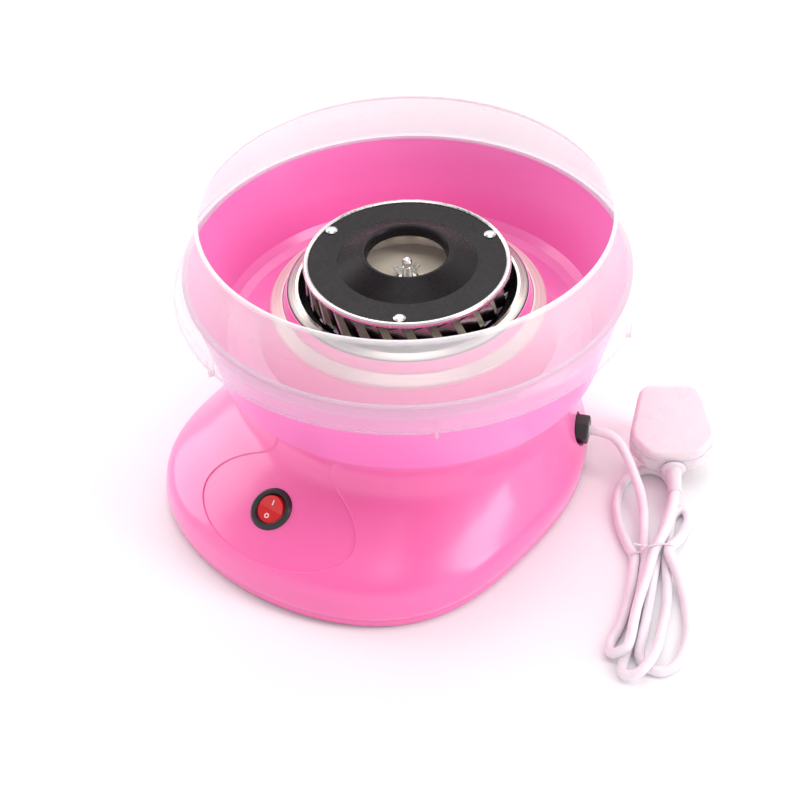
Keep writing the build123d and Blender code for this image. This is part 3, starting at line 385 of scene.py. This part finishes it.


# The splash guard from its hem up: its tints, greyer towards the hem as painted shade, and the bands where
# its veil of white grows or thins, as (change at the band's foot, change at its top, foot, top).
GUARD_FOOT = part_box("splash_guard")[0][2]
GUARD_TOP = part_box("splash_guard")[1][2]
GUARD_SEAT = GUARD_FOOT + 0.0125
GUARD_TINTS_WITH_PAINTED_SHADE = [(0.0, (0.72, 0.64, 0.71)), (0.5, (0.81, 0.74, 0.78)), (1.0, (0.90, 0.87, 0.88))]
GUARD_BANDS = [
    (0.16, 0.0, GUARD_FOOT + 0.0030, GUARD_FOOT + 0.0046),
    (-0.10, 0.0, GUARD_SEAT, GUARD_SEAT + 0.0010),
    (0.0, 0.34, GUARD_TOP - 0.0030, GUARD_TOP - 0.0012),
]


def milky_film(name):
    """Thin milky translucent moulding: a veil of white that is denser at its thick lips, and painted shade
    that greys its lower part.
    """
    made = Surface(name, Coat_Weight=0.5, Coat_Roughness=0.08)
    height = made.height_value()
    # Painted shade: the tint greys from near the top down to the seat.
    rise = made.ranged(height, 0.0, 1.0, GUARD_SEAT - 0.0005, GUARD_TOP - 0.004)
    made.paint(made.colours(rise, GUARD_TINTS_WITH_PAINTED_SHADE))
    made.rough(made.ranged(made.noise(70.0, detail=2.0), 0.22, 0.26, 0.2, 0.8))
    veil = made.ranged(made.noise(18.0, detail=0.0), 0.305, 0.325, 0.1, 0.9)
    for foot_change, top_change, foot, top in GUARD_BANDS:
        add = made.node("ShaderNodeMath", operation="ADD")
        made.join(veil, add.inputs[0])
        made.join(made.ranged(height, foot_change, top_change, foot, top), add.inputs[1])
        veil = add.outputs["Value"]
    made.join(veil, made.shader.inputs["Alpha"])
    made.bump(made.noise(200.0, detail=0.0), 0.04, 0.00008)
    return made.material


def black_satin(name):
    """Satin black coating with a fine sprayed texture."""
    made = Surface(name, Specular_IOR_Level=0.13)
    made.paint(made.colours(made.noise(35.0), [(0.3, (0.009, 0.007, 0.008)), (0.7, (0.014, 0.011, 0.013))]))
    made.rough(made.ranged(made.noise(500.0, detail=4.0), 0.26, 0.36))
    made.bump(made.noise(1400.0, detail=3.0), 0.3, 0.00005)
    return made.material


def red_lens(name):
    """Translucent red rocker, with a faint painted glow."""
    made = Surface(name, Coat_Weight=0.3, Coat_Roughness=0.04)
    made.set(Subsurface_Weight=0.15, Subsurface_Scale=0.002, Subsurface_Radius=(1.0, 0.1, 0.08))
    # Painted glow: a faint red emission, as if light came through the rocker.
    made.set(Emission_Color=(0.9, 0.01, 0.01), Emission_Strength=0.12)
    made.paint(made.colours(made.noise(120.0), [(0.3, (0.50, 0.004, 0.008)), (0.7, (0.60, 0.008, 0.014))]))
    made.rough(made.ranged(made.noise(300.0), 0.12, 0.2))
    made.bump(made.noise(900.0), 0.08, 0.00003)
    return made.material


def cord_sheath(name):
    """Soft white flexible sheath: faint twist of the cores, a fine matt skin."""
    made = Surface(name, Sheen_Weight=0.1, Sheen_Roughness=0.4)
    made.set(Subsurface_Weight=0.3, Subsurface_Scale=0.003, Subsurface_Radius=(1.0, 0.7, 0.8))
    made.paint(made.colours(made.noise(50.0), [(0.3, (0.80, 0.72, 0.76)), (0.7, (0.88, 0.82, 0.86))]))
    made.rough(made.ranged(made.noise(180.0, detail=4.0), 0.34, 0.48))
    made.bump(made.noise(700.0, detail=3.0), 0.2, 0.00004)
    made.bump(made.noise(90.0, detail=1.0), 0.12, 0.0002)
    return made.material


def lamination(name):
    """Stack of thin steel sheets: fine level lines."""
    made = Surface(name, Metallic=1.0)
    wave = made.node("ShaderNodeTexWave", wave_type="BANDS", bands_direction="Z")
    wave.inputs["Scale"].default_value = 300.0
    made.join(made.place, wave.inputs["Vector"])
    made.paint(made.colours(wave.outputs["Fac"], [(0.2, (0.18, 0.18, 0.19)), (0.6, (0.42, 0.42, 0.44))]))
    made.rough(made.ranged(made.noise(200.0), 0.3, 0.5))
    made.bump(wave.outputs["Fac"], 0.4, 0.00008)
    return made.material


def windings(name):
    """Enamelled copper wire laid side by side."""
    made = Surface(name, Metallic=1.0, Coat_Weight=0.5, Coat_Roughness=0.15)
    wave = made.node("ShaderNodeTexWave", wave_type="BANDS", bands_direction="DIAGONAL")
    wave.inputs["Scale"].default_value = 180.0
    wave.inputs["Distortion"].default_value = 1.5
    made.join(made.place, wave.inputs["Vector"])
    made.paint(made.colours(wave.outputs["Fac"], [(0.1, (0.22, 0.07, 0.03)), (0.7, (0.62, 0.26, 0.13))]))
    made.rough(made.ranged(made.noise(300.0), 0.22, 0.4))
    made.bump(wave.outputs["Fac"], 0.6, 0.0002)
    return made.material


def circuit_board(name):
    """Green lacquered board with faint copper tracks under the lacquer."""
    made = Surface(name, Coat_Weight=0.6, Coat_Roughness=0.12)
    tracks = made.node("ShaderNodeTexBrick")
    tracks.inputs["Scale"].default_value = 160.0
    tracks.inputs["Color1"].default_value = (0.012, 0.10, 0.035, 1)
    tracks.inputs["Color2"].default_value = (0.016, 0.13, 0.045, 1)
    tracks.inputs["Mortar"].default_value = (0.03, 0.20, 0.07, 1)
    made.join(made.place, tracks.inputs["Vector"])
    made.paint(tracks.outputs["Color"])
    made.rough(made.ranged(made.noise(120.0), 0.3, 0.45))
    made.bump(tracks.outputs["Fac"], 0.2, 0.00005)
    return made.material


PINK = (0.95, 0.150, 0.43)
PINK_DEEP = (0.94, 0.142, 0.415)
BOWL_PINK = (0.98, 0.205, 0.56)
BOWL_PINK_DEEP = (0.975, 0.195, 0.545)

MATERIALS = {
    "pink_housing": pink_gloss("pink_housing", PINK, PINK_DEEP),
    "pink_bowl": pink_gloss("pink_bowl", BOWL_PINK, BOWL_PINK_DEEP),
    "milky_plastic": milky_film("milky_plastic"),
    "rubber": moulded("rubber", (0.02, 0.02, 0.02), 0.75, 0.2, 700.0),
    "zinc_steel": metal("zinc_steel", (0.62, 0.63, 0.66), 0.3),
    "bright_steel": metal("bright_steel", (0.64, 0.62, 0.60), 0.3),
    "brushed_dish": brushed_dish("brushed_dish"),
    "louvre_steel": metal("louvre_steel", (0.34, 0.31, 0.33), 0.16, (150.0, 150.0, 1500.0)),
    "spun_aluminium": cup_and_trim("spun_aluminium"),
    "black_plate": black_satin("black_plate"),
    "black_plastic": moulded("black_plastic", (0.016, 0.015, 0.016), 0.35, 0.25, 1100.0, 0.00006),
    "bronze": metal("bronze", (0.45, 0.30, 0.14), 0.4),
    "ferrite": moulded("ferrite", (0.05, 0.05, 0.055), 0.6, 0.2, 800.0),
    "carbon": moulded("carbon", (0.015, 0.015, 0.015), 0.5, 0.3, 900.0),
    "heater_sheath": metal("heater_sheath", (0.20, 0.17, 0.15), 0.45),
    "ceramic": moulded("ceramic", (0.80, 0.77, 0.70), 0.25, 0.05, 500.0, Coat_Weight=0.4),
    "brass": metal("brass", (0.80, 0.58, 0.24), 0.25, (900.0, 900.0, 120.0)),
    "cord_sheath": cord_sheath("cord_sheath"),
    "tie_wire": moulded("tie_wire", (0.82, 0.72, 0.78), 0.3, 0.06, 600.0),
    "white_plastic": moulded("white_plastic", (0.80, 0.79, 0.76), 0.35, 0.04, 900.0),
    "plug_plastic": moulded(
        "plug_plastic", (0.76, 0.69, 0.72), 0.3, 0.03, 1200.0,
        Subsurface_Weight=0.3, Subsurface_Scale=0.004, Coat_Weight=0.2, Coat_Roughness=0.15,
    ),
    "circuit_board": circuit_board("circuit_board"),
    "wire_insulation": moulded("wire_insulation", (0.02, 0.06, 0.45), 0.4, 0.1, 800.0),
    "fuse_red": moulded("fuse_red", (0.50, 0.03, 0.02), 0.35, 0.1, 900.0),
    "lamination_steel": lamination("lamination_steel"),
    "copper_wire": windings("copper_wire"),
    "red_lens": red_lens("red_lens"),
    "white_marks": moulded("white_marks", (0.90, 0.90, 0.90), 0.3, 0.02, 900.0),
}


def dress(piece, slot):
    """Give a piece the material of its slot."""
    piece.data.materials.clear()
    piece.data.materials.append(MATERIALS[slot])


for subpart in frame["record"]["subparts"]:
    dress(frame["nodes"][subpart["node"]], subpart["material_slot"])
dress(cord, "cord_sheath")
dress(tie, "tie_wire")
dress(tie_ends, "tie_wire")

# ---------------------------------------------------------------- stage and light
FLOOR_Z = -0.0002
FLOOR_HALF = 6.0
LIGHT_AIM = Vector((0.03, 0.01, 0.09))
ROSE_WHITE = (1.0, 0.97, 1.0)
# The surroundings' grey from the horizon to straight overhead, and the share of green in it.
SKY_GREYS = [(0.0, 1.0), (0.42, 0.92), (0.66, 0.55), (0.86, 0.18), (1.0, 0.10)]
SKY_GREEN = 0.985
SKY_STRENGTH = 1.12


def make_floor():
    """Pale floor, far larger than the object."""
    mesh = bpy.data.meshes.new("floor")
    corners = [(-1, -1), (1, -1), (1, 1), (-1, 1)]
    places = [(x * FLOOR_HALF, y * FLOOR_HALF, FLOOR_Z) for x, y in corners]
    mesh.from_pydata(places, [], [(0, 1, 2, 3)])
    floor = bpy.data.objects.new("floor", mesh)
    bpy.context.collection.objects.link(floor)
    made = Surface("floor_paper", Roughness=0.6, Specular_IOR_Level=0.2)
    made.paint(made.colours(made.noise(6.0), [(0.3, (0.93, 0.93, 0.93)), (0.7, (0.95, 0.95, 0.95))]))
    mesh.materials.append(made.material)


def make_area(name, azimuth, elevation, distance, size, power, colour=(1, 1, 1)):
    """Soft rectangular light that looks at the object, from angles in degrees."""
    data = bpy.data.lights.new(name, "AREA")
    data.shape = "RECTANGLE"
    data.size, data.size_y = size
    data.energy = power
    data.color = colour
    light = bpy.data.objects.new(name, data)
    bpy.context.collection.objects.link(light)
    back = outward(math.radians(azimuth), math.radians(elevation))
    light.location = LIGHT_AIM + back * distance
    light.rotation_mode = "QUATERNION"
    light.rotation_quaternion = (-back).to_track_quat("-Z", "Y")


def make_world():
    """Pale surroundings, brightest at the horizon and dark overhead."""
    world = bpy.data.worlds.new("studio")
    world.use_nodes = True
    nodes, links = world.node_tree.nodes, world.node_tree.links
    split = nodes.new("ShaderNodeSeparateXYZ")
    links.new(nodes.new("ShaderNodeTexCoord").outputs["Generated"], split.inputs["Vector"])
    ramp = nodes.new("ShaderNodeValToRGB")
    fill_ramp(ramp, [(height, (grey, grey * SKY_GREEN, grey)) for height, grey in SKY_GREYS])
    links.new(split.outputs["Z"], ramp.inputs["Fac"])
    background = nodes["Background"]
    links.new(ramp.outputs["Color"], background.inputs["Color"])
    background.inputs["Strength"].default_value = SKY_STRENGTH
    bpy.context.scene.world = world


make_floor()
make_world()
make_area("back", 205, 50, 1.9, (1.6, 1.0), 13)
make_area("key_left", -82, 24, 1.8, (1.3, 1.1), 13, ROSE_WHITE)
make_area("side_right", 108, 34, 1.6, (0.45, 1.9), 14, ROSE_WHITE)
make_area("top", 0, 88, 1.9, (1.0, 1.0), 8.5)
bpy.context.scene.view_settings.view_transform = "Standard"

bpy.context.view_layer.update()
